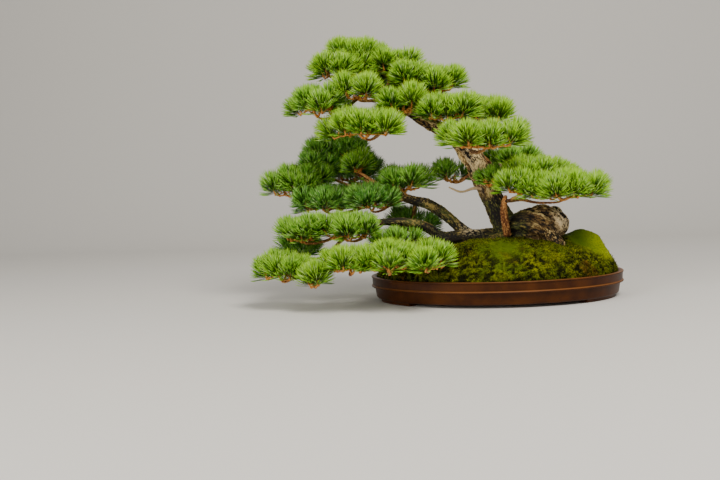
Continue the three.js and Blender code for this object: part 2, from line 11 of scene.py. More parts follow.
import bpy
import numpy as np
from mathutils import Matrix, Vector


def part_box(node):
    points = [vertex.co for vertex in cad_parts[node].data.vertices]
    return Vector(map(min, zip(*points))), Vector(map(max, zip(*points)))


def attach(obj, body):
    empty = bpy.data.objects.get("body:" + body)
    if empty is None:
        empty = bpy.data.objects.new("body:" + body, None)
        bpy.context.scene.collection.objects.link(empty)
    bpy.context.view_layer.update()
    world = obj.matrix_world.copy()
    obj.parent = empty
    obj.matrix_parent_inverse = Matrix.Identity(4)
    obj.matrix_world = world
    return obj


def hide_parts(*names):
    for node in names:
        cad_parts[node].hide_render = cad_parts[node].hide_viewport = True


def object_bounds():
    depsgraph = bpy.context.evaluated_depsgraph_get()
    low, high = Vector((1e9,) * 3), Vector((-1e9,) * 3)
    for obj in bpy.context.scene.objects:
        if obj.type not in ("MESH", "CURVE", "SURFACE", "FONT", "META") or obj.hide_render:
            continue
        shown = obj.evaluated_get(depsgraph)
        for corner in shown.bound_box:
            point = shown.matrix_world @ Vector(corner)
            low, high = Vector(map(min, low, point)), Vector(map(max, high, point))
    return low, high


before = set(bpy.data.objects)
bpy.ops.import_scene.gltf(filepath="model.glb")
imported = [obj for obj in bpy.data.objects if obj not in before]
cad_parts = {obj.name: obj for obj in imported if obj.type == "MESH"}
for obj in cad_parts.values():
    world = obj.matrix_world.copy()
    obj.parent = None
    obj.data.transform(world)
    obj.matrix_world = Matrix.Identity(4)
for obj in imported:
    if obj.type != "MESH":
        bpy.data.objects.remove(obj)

cad_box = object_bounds()

# Pot: one fired piece of unglazed brown clay, a shallow oval on four low feet. It was pressed in a mould
# and burnished, so its rim, its upright lip band and the thin bead under the band are soft-edged and even.
MM = 0.001
POT_BOX = np.array(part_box("pot")) / MM
POT_MIDDLE = POT_BOX.mean(axis=0) * (1, 1, 0)
POT_HALF = (POT_BOX[1] - POT_BOX[0])[:2] / 2
RIM_HEIGHT = POT_BOX[1, 2]
LIP_BOTTOM = RIM_HEIGHT - 17
FOOT_HEIGHT = 6
FLOOR_TOP = 13
BODY_INSET = 6
FLOOR_EDGE = 90
POT_SIDES = 128
# How strong the painted highlight on the bead and the rim is.
BEAD_RIM_HIGHLIGHT = 0.7
FEET_AT = (30, 150, 210, 330)
FOOT_SPREAD = 15
FOOT_STEPS = 24
DRAIN_X = 115
DRAIN_RADIUS = 13


def linear(hex_colour):
    """The linear RGBA of an sRGB hex colour, by the standard's power curve."""
    srgb = np.array([int(hex_colour[i : i + 2], 16) / 255 for i in (1, 3, 5)])
    curve = np.where(srgb > 0.04045, ((srgb + 0.055) / 1.055) ** 2.4, srgb / 12.92)
    return (*curve, 1)


def add_node(tree, kind, settings=None, **sockets):
    """Adds a node with its settings. A socket is named by its identifier and given a value or a link."""
    node = tree.nodes.new("ShaderNode" + kind)
    for name, value in (settings or {}).items():
        setattr(node, name, value)
    for name, value in sockets.items():
        socket = next(s for s in node.inputs if s.identifier == name)
        if isinstance(value, bpy.types.NodeSocket):
            tree.links.new(value, socket)
        else:
            socket.default_value = value
    return node


def new_material(name, roughness, **sockets):
    """A material and its tree, with a principled shader that has these constant sockets."""
    material = bpy.data.materials.new(name)
    material.use_nodes = True
    tree = material.node_tree
    shader = tree.nodes["Principled BSDF"]
    shader.inputs["Roughness"].default_value = roughness
    for socket, value in sockets.items():
        shader.inputs[socket.replace("_", " ")].default_value = value
    return material, tree, shader


def mix_colours(tree, factor, low, high):
    """The colour between two, each a hex colour or a socket, at a factor from 0 to 1."""
    low, high = (linear(c) if isinstance(c, str) else c for c in (low, high))
    node = add_node(tree, "Mix", {"data_type": "RGBA"}, Factor_Float=factor, A_Color=low, B_Color=high)
    return node.outputs[2]


def ramp(tree, value, start, end):
    """A smooth step from 0 where value is start to 1 where it is end."""
    settings = {"interpolation_type": "SMOOTHSTEP"}
    node = add_node(tree, "MapRange", settings, Value=value, **{"From Min": start, "From Max": end})
    return node.outputs[0]


def noise(tree, size, detail):
    """Smooth noise from 0 to 1 over a piece, in patches of about that size in millimetres."""
    place = add_node(tree, "TexCoord").outputs["Object"]
    return add_node(tree, "TexNoise", Vector=place, Scale=1 / (size * MM), Detail=detail).outputs["Fac"]


def finish_surface(tree, shader, colour, grain=None, strength=0.0, depth=0.0):
    """Gives a surface its colour, and a relief where grain is given, as deep as that in millimetres."""
    tree.links.new(colour, shader.inputs["Base Color"])
    if grain is not None:
        bump = add_node(tree, "Bump", Strength=strength, Distance=depth * MM, Height=grain)
        tree.links.new(bump.outputs[0], shader.inputs["Normal"])


def grid_faces(rows, columns, closed=True):
    """Quads between neighbouring rows of a grid whose columns go round anticlockwise seen from its end."""
    across = np.arange(columns if closed else columns - 1)
    low = np.arange(rows - 1)[:, None] * columns
    a, b = low + across, low + (across + 1) % columns
    return np.stack([a, b, b + columns, a + columns], axis=-1).reshape(-1, 4)


def make_piece(name, points, face_groups, material, replaced=(), values=None, crease=None):
    """A mesh object from points in millimetres and arrays of faces, with values as point attributes. It is
    smooth but for edges sharper than crease degrees, and takes the place of the solids in replaced."""
    mesh = bpy.data.meshes.new(name)
    mesh.vertices.add(len(points))
    mesh.vertices.foreach_set("co", ((points + POT_MIDDLE) * MM).astype(np.float32).ravel())
    corners = np.concatenate([np.asarray(group).ravel() for group in face_groups])
    sizes = np.concatenate([np.full(len(group), len(group[0])) for group in face_groups])
    mesh.loops.add(len(corners))
    mesh.loops.foreach_set("vertex_index", corners.astype(np.int32))
    mesh.polygons.add(len(sizes))
    mesh.polygons.foreach_set("loop_start", (np.cumsum(sizes) - sizes).astype(np.int32))
    mesh.update(calc_edges=True)
    mesh.shade_smooth()
    if crease is not None:
        mesh.set_sharp_from_angle(angle=math.radians(crease))
    for key, value in (values or {}).items():
        layer = mesh.attributes.new(key, "FLOAT", "POINT")
        layer.data.foreach_set("value", np.asarray(value, dtype=np.float32).ravel())
    mesh.materials.append(material)
    piece = bpy.data.objects.new(name, mesh)
    bpy.context.scene.collection.objects.link(piece)
    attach(piece, "root")
    if replaced:
        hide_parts(*replaced)
    return piece


def rounded(corners, steps=5):
    """An outline with each corner (across, up, radius) drawn as a short curve between its two edges."""
    corners = np.array(corners, dtype=float)
    places, t = corners[:, :2], np.linspace(0, 1, steps)[:, None]
    outline = [places[:1]]
    for before, here, after, radius in zip(places, places[1:], places[2:], corners[1:-1, 2]):
        start = here + radius * (before - here) / np.linalg.norm(before - here)
        end = here + radius * (after - here) / np.linalg.norm(after - here)
        outline.append((1 - t) ** 2 * start + 2 * t * (1 - t) * here + t**2 * end)
    return np.concatenate([*outline, places[-1:]])


def oval_rings(profile, angles):
    """Each (inset, height) of the profile carried round the pot's oval through those angles."""
    inset, height = profile[:, :1], profile[:, 1:]
    x = (POT_HALF[0] - inset) * np.cos(angles)
    y = (POT_HALF[1] - inset) * np.sin(angles)
    return np.stack([x, y, np.broadcast_to(height, x.shape)], axis=-1)


def burnished_clay():
    """Unglazed brown clay, burnished: a satin surface, cloudy from the kiln, with a fine grit. Its bead and
    its rim carry a painted highlight, a lighter tan where the light catches them."""
    material, tree, shader = new_material("burnished brown clay", 0.4, Specular_IOR_Level=0.15)
    grit = noise(tree, 1.6, 3.0)
    cloudy = mix_colours(tree, ramp(tree, noise(tree, 38, 4.0), 0.3, 0.7), "#321502", "#4a2504")
    specked = mix_colours(tree, ramp(tree, grit, 0.62, 0.75), cloudy, "#27130a")
    painted_highlight = add_node(tree, "Attribute", {"attribute_name": "painted_highlight"}).outputs["Fac"]
    # Painted highlight: the bead and the rim are lighter where the light catches them.
    finish_surface(tree, shader, mix_colours(tree, painted_highlight, specked, "#84542a"), grit, 0.12, 0.3)
    return material


def pot_points():
    """The shell from under the floor, over the rim and down inside, then the four feet, with their faces and
    how much painted highlight each point takes: the top of the bead and the outer edge of the rim take it."""
    outline = rounded(
        [
            (FLOOR_EDGE, FOOT_HEIGHT, 0),
            (BODY_INSET + 3.5, FOOT_HEIGHT, 4),
            (BODY_INSET, LIP_BOTTOM - 3.4, 1.2),
            (0, LIP_BOTTOM - 3.2, 1.2),
            (0, LIP_BOTTOM - 0.6, 1.2),
            (2.4, LIP_BOTTOM + 0.2, 0.3),
            (2, LIP_BOTTOM + 2, 0.8),
            (1.4, RIM_HEIGHT - 3.4, 0.8),
            (0, RIM_HEIGHT - 2.6, 0.6),
            (0, RIM_HEIGHT, 1.5),
            (9.5, RIM_HEIGHT, 1.5),
            (24, FLOOR_TOP, 4),
            (FLOOR_EDGE, FLOOR_TOP, 0),
        ]
    )
    angles = np.arange(POT_SIDES) / POT_SIDES * 2 * math.pi
    points = [oval_rings(outline, angles).reshape(-1, 3)]
    floor = np.arange(POT_SIDES)
    inner_floor = (len(outline) - 1) * POT_SIDES + floor
    faces = [grid_faces(len(outline), POT_SIDES), [floor[::-1]], [inner_floor]]
    foot = rounded([(40, 4, 0), (30, 0, 1.5), (15, 0, 1.5), (13, 9, 1), (31, 9, 1), (31, 4, 0)], 4)
    foot_end = np.arange(len(foot))
    for middle in FEET_AT:
        steps = np.radians(np.linspace(middle - FOOT_SPREAD, middle + FOOT_SPREAD, FOOT_STEPS))
        first = sum(len(p) for p in points)
        other_end = first + (FOOT_STEPS - 1) * len(foot) + foot_end[::-1]
        faces += [first + grid_faces(FOOT_STEPS, len(foot))[:, ::-1], [first + foot_end], [other_end]]
        points.append(oval_rings(foot, steps).transpose(1, 0, 2).reshape(-1, 3))
    points = np.concatenate(points)
    inset, height = outline.T
    bead = (abs(height - LIP_BOTTOM) < 1) & (inset < 2.5)
    rim = (height > RIM_HEIGHT - 0.6) & (inset < 2)
    # Painted highlight on the top of the bead and the outer edge of the rim.
    painted_highlight = np.zeros(len(points))
    painted_highlight[: len(outline) * POT_SIDES] = np.repeat(BEAD_RIM_HIGHLIGHT * (bead | rim), POT_SIDES)
    return points, faces, {"painted_highlight": painted_highlight}


def drill_floor(piece, places, radius):
    """Drills upright holes of one radius through the pot's floor at those (x, y) places."""
    sides = 40
    angles = np.arange(sides) / sides * 2 * math.pi
    for x, y in places:
        ring = np.stack([x + radius * np.cos(angles), y + radius * np.sin(angles)], axis=-1)
        points = np.concatenate([np.insert(ring, 2, z, axis=1) for z in (-5, FLOOR_TOP + 5)])
        drill = bpy.data.meshes.new("drill")
        caps = [list(range(sides))[::-1], list(range(sides, 2 * sides))]
        walls = grid_faces(2, sides).tolist()
        drill.from_pydata(((points + POT_MIDDLE) * MM).tolist(), [], walls + caps)
        tool = bpy.data.objects.new("drill", drill)
        bpy.context.scene.collection.objects.link(tool)
        cut = piece.modifiers.new("drain hole", "BOOLEAN")
        cut.object = tool
        cut.operation = "DIFFERENCE"
        bpy.context.view_layer.update()
        drilled = bpy.data.meshes.new_from_object(piece.evaluated_get(bpy.context.evaluated_depsgraph_get()))
        piece.modifiers.remove(cut)
        piece.data = drilled
        bpy.data.objects.remove(tool)


points, faces, values = pot_points()
pot = make_piece("oval_pot", points, faces, burnished_clay(), ["pot"], values, 35)
drill_floor(pot, [(-DRAIN_X, 0), (DRAIN_X, 0)], DRAIN_RADIUS)

# Drain meshes and soil: squares of black plastic mesh wired over the holes, under grains of baked clay. They
# stay as the solids made them, because the moss hides them, and get only their finish here.


def black_plastic():
    """Black polypropylene mesh, moulded, dull."""
    return new_material("black plastic mesh", 0.6, Base_Color=linear("#151617"))[0]


def baked_clay_grains():
    """Sieved grains of baked clay, 2 to 4 mm across: matt, brown, each of its own shade."""
    material, tree, shader = new_material("baked clay grains", 0.95)
    place = add_node(tree, "TexCoord").outputs["Object"]
    grains = add_node(tree, "TexVoronoi", Vector=place, Scale=1 / (3.2 * MM))
    shade = add_node(tree, "SeparateColor", Color=grains.outputs["Color"]).outputs[0]
    finish_surface(tree, shader, mix_colours(tree, shade, "#2b1a10", "#6b4a30"))
    bump = add_node(tree, "Bump", {"invert": True}, Strength=1.0, Distance=1.5 * MM)
    tree.links.new(grains.outputs["Distance"], bump.inputs["Height"])
    tree.links.new(bump.outputs[0], shader.inputs["Normal"])
    return material


finishes = {"drain_mesh_left": black_plastic(), "soil": baked_clay_grains()}
finishes["drain_mesh_right"] = finishes["drain_mesh_left"]
for name, finish in finishes.items():
    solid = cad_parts[name]
    solid.data.materials.clear()
    solid.data.materials.append(finish)

# Moss: a living carpet over the heaped soil, knobbly and olive, with painted shade in the seams between its
# cushions. A smoother, brighter kind makes the dome at the right end and the low cushion in the middle of
# the front. The dome is painted lighter towards its right side, as painted light.
SOIL_EDGE = 37
MOSS_THICKNESS = 7
MOUND_RISE = 64
GROUND_INSET = 14.5
GROUND_HALF = POT_HALF - GROUND_INSET
CUSHIONS = [
    (170, 2, 33, 31), (204, -8, 16, 12), (16, -96, 44, 12), (96, -104, 26, 7), (-62, -84, 30, 7),
    (-150, 40, 34, 6), (70, 96, 40, 9), (-40, 110, 34, 6), (186, -62, 18, 7),
]
BRIGHT_DOME = (174, 0, 46, 74)
BRIGHT_FRONT = (14, -112, 44, 46)
TUSSOCKS = ((9, 0.3, 1), (5, 0.38, 2), (3.4, 0.32, 4))
TUSSOCK_HEIGHT = 5.5
MOSS_GRID = 180
FIBRES = 33000
FIBRE_LENGTH = (2.4, 5.2)
FIBRE_WIDTH = 1.5
CELL_PRIMES = np.array([73856093, 19349663, 83492791], dtype=np.uint32)
MIX_FACTORS = (2246822519, 3266489917, 374761393)
SEED_FACTOR = 668265263
generator = np.random.default_rng(11)


def soil_height(x, y):
    """The mound: a power of the distance in from the edge, lower to the left, with slow ripples and a round
    cushion for each (x, y, radius, height) of CUSHIONS."""
    edge = np.maximum(0, 1 - (x / GROUND_HALF[0]) ** 2 - (y / GROUND_HALF[1]) ** 2)
    slope = 0.79 + 0.21 * np.tanh((x + 112) / 60)
    ripple = 1.6 * np.sin(x / 13 + 1.3) * np.cos(y / 11) + 1.2 * np.sin((x + y) / 8)
    rise = (MOUND_RISE * slope + ripple) * edge**0.36
    for cx, cy, radius, height in CUSHIONS:
        rise += height * np.exp(-((x - cx) ** 2 + (y - cy) ** 2) / (2 * radius**2)) * np.minimum(1, 4 * edge)
    return SOIL_EDGE + rise


def hashed(cells, seed):
    """Three even random numbers for each whole-number cell (x, y, z), by integer mixing."""
    mixed = np.bitwise_xor.reduce(cells.astype(np.uint32) * CELL_PRIMES, axis=-1)
    mixed ^= np.uint32(seed * SEED_FACTOR % 2**32)
    values = []
    for factor in MIX_FACTORS:
        mixed = (mixed ^ (mixed >> np.uint32(15))) * np.uint32(factor)
        mixed ^= mixed >> np.uint32(13)
        values.append(mixed / 2**32)
    return np.stack(values, axis=-1)


def scattered(points, size, seed):
    """Seeds strewn one to a cube of that size. Gives each point's distances to the nearest two in sizes, a
    random number of the nearest one's own, and how far past it the point lies along X."""
    places = points / size
    cell = np.floor(places).astype(np.int64)
    first = np.full(len(points), 9.0)
    second, own, past = first.copy(), first * 0, first * 0
    for offset in np.ndindex(3, 3, 3):
        near = cell + offset - 1
        random = hashed(near, seed)
        away = places - near - random
        distance = np.linalg.norm(away, axis=-1)
        closer = distance < first
        second = np.where(closer, first, np.minimum(second, distance))
        own = np.where(closer, random[..., 0], own)
        past = np.where(closer, away[..., 0], past)
        first = np.where(closer, distance, first)
    return first, second, own, past


def cloud(points, size, seed):
    """Smooth noise from 0 to 1: random numbers on a lattice of that size, blended between its corners."""
    places = points / size
    cell = np.floor(places).astype(np.int64)
    share = places - cell
    share = share * share * (3 - 2 * share)
    total = np.zeros(len(points))
    for corner in np.ndindex(2, 2, 2):
        weight = np.prod(np.where(corner, share, 1 - share), axis=-1)
        total += weight * hashed(cell + corner, seed)[..., 0]
    return total


def bright_cushion(points):
    """How far a place belongs to the bright kind of moss: 1 on the right dome with a short edge, 0.75 on the
    front cushion with a long one, 0 away from both. Each is (x, y, half length, half depth)."""
    x, y, _ = points.T
    wander = 9 * (cloud(points, 14, 5) - 0.5)
    right, front = (
        np.hypot((x - middle_x) / half_x, (y - middle_y) / half_y)
        for middle_x, middle_y, half_x, half_y in (BRIGHT_DOME, BRIGHT_FRONT)
    )
    on_dome = 1 - np.clip((right + wander / 46 - 0.8) * 4, 0, 1)
    on_front = 1 - np.clip((front + wander / 40 - 0.4) * 1.3, 0, 1)
    return np.maximum(on_dome, 0.75 * on_front)


def grid_normals(grid):
    """The upward normal at each place of a grid of points, as long as its share of the grid's area."""
    return np.cross(np.gradient(grid, axis=1), np.gradient(grid, axis=0))


def oval_grid():
    """A square grid, u and v from -1 to 1 and denser at its edge, and its places (x, y) once it is bent to
    the ground's oval, where each of u and v is shortened by half the other's square."""
    line = np.sin(np.linspace(-1, 1, MOSS_GRID) * math.pi / 2)
    u, v = np.meshgrid(line, line)
    return u, v, GROUND_HALF[0] * u * np.sqrt(1 - v**2 / 2), GROUND_HALF[1] * v * np.sqrt(1 - u**2 / 2)


def moss_top():
    """The oval grid on the mound, pushed out along its own normal by tussocks of three sizes, which are
    flatter where the moss is bright. Gives its points and their values: how bright, how far out of the
    painted shade of the seams, and where between the two shades of its kind, which on the bright moss is
    painted light, lighter towards the dome's right side."""
    u, v, x, y = oval_grid()
    base = np.stack([x, y, soil_height(x, y) + MOSS_THICKNESS - 1.5], axis=-1)
    normal = grid_normals(base)
    normal /= np.linalg.norm(normal, axis=-1, keepdims=True)
    flat = base.reshape(-1, 3)
    bright = bright_cushion(flat)
    bent = flat + 7 * (np.stack([cloud(flat, 16, k) for k in (21, 22, 23)], axis=-1) - 0.5)
    tussock = sum(share * cloud(bent, size, seed) for size, share, seed in TUSSOCKS)
    height = np.clip((tussock - 0.3) / 0.34, 0, 1)
    swell = TUSSOCK_HEIGHT * height * (1 - 0.85 * bright) + 2.5 * (cloud(flat, 34, 3) - 0.5)
    inside = np.clip(1 - np.maximum(abs(u), abs(v)) ** 12, 0, 1).ravel()
    points = flat + normal.reshape(-1, 3) * (swell * (0.35 + 0.65 * inside))[:, None]
    # Painted light: the bright dome is lighter towards its right side, where the light falls.
    painted_light_to_right = np.clip((x.ravel() - 160) / 50, 0, 1)
    mottled = 0.5 * cloud(flat, 20, 6) + 0.5 * cloud(flat, 7, 7)
    shade = mottled * (1 - bright) + (0.1 + 0.9 * painted_light_to_right) * bright
    # Low in the seams between the tussocks the moss takes painted shade.
    return points, {"bright": bright, "out_of_seam_shade": np.maximum(height, bright), "shade": shade}


def moss_closed_below(top, values):
    """The carpet's points, faces and values: its top, and a few plain rings under it 0.5 mm over the soil."""
    n = MOSS_GRID
    index = np.arange(n * n).reshape(n, n)
    rim = np.concatenate([index[0, :-1], index[:-1, -1], index[-1, :0:-1], index[:0:-1, 0]])
    shares = np.array([1, 0.94, 0.85, 0.7, 0.45])[:, None]
    x, y = (side.ravel()[rim] * shares for side in oval_grid()[2:])
    under = np.stack([x, y, soil_height(x, y) + 0.5], axis=-1).reshape(-1, 3)
    count, first = len(rim), len(top)
    ring = first + np.arange(count)
    faces = [
        grid_faces(n, n, closed=False),
        np.stack([rim, ring, np.roll(ring, -1), np.roll(rim, -1)], axis=-1),
        first + grid_faces(len(shares), count)[:, ::-1],
        [first + len(under) - count + np.arange(count)[::-1]],
    ]
    values = {key: np.append(value, np.zeros(len(under))) for key, value in values.items()}
    return np.concatenate([top, under]), faces, values


def pointed_fibres(feet, directions, lengths, width):
    """Slender closed pyramids on three-cornered feet, each turned at random, and their faces."""
    count = len(feet)
    turn = generator.uniform(0, 2 * math.pi, count)
    helper = np.where(abs(directions[:, 2:]) < 0.9, (0, 0, 1), (1, 0, 0))
    side = np.cross(directions, helper)
    side /= np.linalg.norm(side, axis=1, keepdims=True)
    other = np.cross(directions, side)
    corners = []
    for k in range(3):
        angle = (turn + k * 2 * math.pi / 3)[:, None]
        corners.append(feet + width / 2 * (np.cos(angle) * side + np.sin(angle) * other))
    corners.append(feet + directions * lengths[:, None])
    points = np.stack(corners, axis=1).reshape(-1, 3)
    faces = np.array([(0, 1, 3), (1, 2, 3), (2, 0, 3), (0, 2, 1)])
    return points, (np.arange(count)[:, None, None] * 4 + faces).reshape(-1, 3)


def fibres_on(top, values):
    """Fibres strewn over the carpet by its area, few and short where it is bright. They stand out of it along
    its normal, each leaning its own way, and take its values: their feet take the painted shade of its seams,
    and their tips are clear of it."""
    normal = grid_normals(top.reshape(MOSS_GRID, MOSS_GRID, 3)).reshape(-1, 3)
    area = np.linalg.norm(normal, axis=1)
    chance = area * np.clip(1 - 1.1 * values["bright"], 0.14, 1)
    chosen = generator.choice(len(area), FIBRES, p=chance / chance.sum())
    feet = top[chosen] + generator.uniform(-1.2, 1.2, (FIBRES, 3)) * (1, 1, 0.4) - (0, 0, 0.5)
    lean = normal[chosen] / area[chosen, None] + generator.normal(0, 0.55, (FIBRES, 3))
    lean /= np.linalg.norm(lean, axis=1, keepdims=True)
    bright, out_of_seam_shade, shade = (values[key][chosen] for key in ("bright", "out_of_seam_shade", "shade"))
    lengths = generator.uniform(*FIBRE_LENGTH, FIBRES) * (1 - 0.6 * bright)
    points, faces = pointed_fibres(feet, lean, lengths, FIBRE_WIDTH)
    own = generator.uniform(0, 1, FIBRES)
    fibre_values = {
        "bright": np.repeat(bright, 4),
        # The fibres' feet take the painted shade of the seams, and their tips are clear of it.
        "out_of_seam_shade": np.repeat(0.7 * out_of_seam_shade + 0.2 * bright, 4) + np.tile([0, 0, 0, 0.5], FIBRES),
        "shade": np.repeat(own * (1 - bright) + (0.25 * own + 0.75 * shade) * bright, 4),
    }
    return points, [faces], fibre_values


def read_values(tree, *names):
    """Sockets that give the point attributes of those names."""
    return {name: add_node(tree, "Attribute", {"attribute_name": name}).outputs["Fac"] for name in names}


def living_moss():
    """Living moss, matt: olive to rust on the knobs, painted shade nearly black in the seams and dark in the
    fine gaps, clear green where bright, with painted light towards the bright dome's right side.
    """
    material, tree, shader = new_material("living moss", 0.9, Specular_IOR_Level=0.1)
    read = read_values(tree, "bright", "out_of_seam_shade", "shade")
    patch, speck = noise(tree, 42, 3.0), noise(tree, 2.4, 3.0)
    olive = mix_colours(tree, ramp(tree, read["shade"], 0.2, 0.9), "#45560c", "#7e800e")
    rusty = mix_colours(tree, ramp(tree, patch, 0.56, 0.72), olive, "#5e460c")
    # On the bright moss, shade holds painted light, lighter towards the dome's right side.
    green = mix_colours(tree, read["shade"], "#324a06", "#8c9608")
    kind = mix_colours(tree, read["bright"], rusty, green)
    # Painted shade in the fine gaps, where the grain of the bump is low.
    fine_gap_shade = mix_colours(tree, read["bright"], "#2a3004", "#48600a")
    fine = mix_colours(tree, ramp(tree, speck, 0.3, 0.55), fine_gap_shade, kind)
    # Painted shade, nearly black, low in the seams between the tussocks.
    deep = mix_colours(tree, ramp(tree, read["out_of_seam_shade"], 0.15, 0.9), "#111302", fine)
    finish_surface(tree, shader, deep, speck, 0.8, 0.8)
    return material


moss_finish = living_moss()
top, top_values = moss_top()
points, faces, values = moss_closed_below(top, top_values)
make_piece("moss_carpet", points, faces, moss_finish, ["moss"], values)
points, faces, values = fibres_on(top, top_values)
make_piece("moss_fibres", points, faces, moss_finish, values=values)

# Trunk, lying base, roots and limbs: one old piece of wood under flaking bark. Each limb is a list of places
# (x, y, z, radius) along its middle, and its bark is carried along them.
LIMBS = {
    "trunk": [
        (34, 4, 76, 25), (31, 6, 104, 26), (21, 10, 138, 23), (5, 12, 176, 20), (-9, 14, 212, 21),
        (-23, 13, 246, 23), (-44, 10, 282, 19), (-68, 6, 308, 15), (-100, 2, 329, 13.5), (-134, 0, 349, 11.5),
        (-166, 0, 374, 10), (-198, 0, 402, 8), (-222, -2, 424, 6.5),
    ],
    "base": [
        (12, 4, 108, 18), (38, 0, 124, 31), (72, -6, 134, 35), (102, -10, 136, 34), (124, -12, 131, 26),
        (137, -14, 123, 15),
    ],
    "root_right": [(96, -16, 128, 18), (112, -38, 108, 14), (126, -56, 88, 10), (134, -68, 74, 6)],
    "stub": [(-16, 10, 236, 11), (4, 4, 248, 8), (20, 0, 252, 5.5)],
    "root_down": [(42, 0, 110, 28), (42, 2, 84, 22), (40, 4, 62, 13)],
    "root_left": [
        (30, 6, 108, 22), (0, 6, 113, 17), (-32, 3, 116, 14), (-62, -2, 118, 13), (-90, -10, 117, 12),
        (-112, -20, 107, 8),
    ],
    "limb_high": [
        (-36, 4, 116, 11), (-58, 5, 130, 11), (-80, 7, 151, 10), (-104, 9, 170, 10.5), (-128, 11, 184, 10),
        (-152, 12, 190, 9), (-174, 12, 198, 8), (-190, 12, 205, 6),
    ],
    "limb_front": [
        (-60, -2, 117, 11), (-96, -26, 116, 10), (-134, -52, 111, 9.5), (-178, -76, 102, 9),
        (-228, -92, 90, 8), (-280, -98, 78, 7), (-326, -96, 68, 6), (-356, -94, 62, 5),
    ],
    "limb_low": [
        (-78, -6, 117, 11), (-102, -12, 122, 10), (-124, -16, 137, 9), (-148, -18, 147, 8.5),
        (-180, -20, 152, 8), (-216, -22, 152, 7), (-248, -26, 148, 6),
    ],
    "riser": [
        (25, -28, 116, 8.5), (22, -36, 140, 7.2), (19, -40, 164, 6.4), (20, -44, 182, 5.4),
        (23, -50, 196, 3.2),
    ],
    "dead_twig": [(-10, 8, 206, 4), (-34, -4, 211, 2.8), (-60, -8, 205, 2.2), (-84, -8, 215, 1.3)],
}
# How knobbly a limb is next to a plain one, and at what share of the trunk its knots of cut branches lie.
CRAGGY = {"base": 2, "trunk": 1.3, "stub": 2.2}
KNOTS_AT = 0.44
KNOTS_SPREAD = 0.09
# Over 0 the bark is young, under 0 the wood is dead and bare.
YOUTH = {"riser": 0.7, "dead_twig": -0.6, "stub": -0.35}
# How deep the flutes are next to a plain limb's, and the length in which the bark turns by one radian.
FLUTED = {"riser": 1.8, "base": 1.7, "root_left": 1.6}
SPIRAL = {"base": -45, "riser": 60}
PLAIN_SPIRAL = 120
THICK = 12
RING_SPACING = 1.35
THICK_RING_SPACING = 1.6


def limb_places(name, t):
    """The middle and radius of a limb at shares t of its places: a smooth curve through them, whose slope at
    each comes from its neighbours, weighed by the square roots of their distances."""
    table = np.array(LIMBS[name], dtype=float)
    padded = np.vstack([2 * table[0] - table[1], table, 2 * table[-1] - table[-2]])[:, :3]
    at = np.clip(np.asarray(t) * (len(table) - 1), 0, len(table) - 1 - 1e-9)
    i, w = at.astype(int), (at % 1)[:, None]
    p0, p1, p2, p3 = (padded[i + k] for k in range(4))
    d0, d1, d2 = (np.sqrt(np.linalg.norm(b - a, axis=1))[:, None] for a, b in ((p0, p1), (p1, p2), (p2, p3)))
    m1 = ((p1 - p0) / d0 - (p2 - p0) / (d0 + d1) + (p2 - p1) / d1) * d1
    m2 = ((p2 - p1) / d1 - (p3 - p1) / (d1 + d2) + (p3 - p2) / d2) * d1
    middle = p1 + w * m1 + w**2 * (3 * (p2 - p1) - 2 * m1 - m2) + w**3 * (2 * (p1 - p2) + m1 + m2)
    radius = table[i, 3] + (table[i + 1, 3] - table[i, 3]) * w[:, 0]
    return middle, radius


def ring_directions(middle, angle):
    """The directions at those angles across a path, for each of its places, carried along without twist."""
    along = np.gradient(middle, axis=0)
    along /= np.linalg.norm(along, axis=1, keepdims=True)
    side = np.cross(along[0], (0, 0, 1) if abs(along[0][2]) < 0.9 else (0, 1, 0))
    sides = []
    for direction in along:
        side = side - direction * (side @ direction)
        side /= np.linalg.norm(side)
        sides.append(side)
    across = np.array(sides)
    over = np.cross(along, across)
    return np.cos(angle)[None, :, None] * across[:, None] + np.sin(angle)[None, :, None] * over[:, None]


def bark_relief(space, flake, seed):
    """Old bark at each place: flakes of two sizes, each lifted at one end, with fissures round them that are
    deeper in some patches, a fine roughness, and slow swellings under them. Gives how far a place is out of
    a fissure, its flake's own number, the height of its flake, and the swelling."""
    warped = space + 3.5 * (np.stack([cloud(space, 5, seed + k) for k in range(3)], axis=-1) - 0.5)
    near, far, own, past = scattered(warped, flake, seed)
    strength = np.clip(2.4 * cloud(space, 3 * flake, seed + 5) - 0.4, 0.1, 1)
    fissure = 1 - (1 - np.clip((far - near) * 3.5, 0, 1)) * strength
    near, far, small, _ = scattered(warped, 0.5 * flake, seed + 20)
    fissure *= 0.55 + 0.45 * np.clip((far - near) * 4, 0, 1)
    own = 0.6 * own + 0.4 * small
    swelling = cloud(space, 11, seed + 9) + 0.7 * cloud(space, 5, seed + 11) - 0.85
    rough = cloud(space, 1.9, seed + 7) - 0.5
    relief = fissure * (1.5 + own + 1.1 * past) - 1.6 + 0.5 * rough
    return fissure, own, relief, swelling


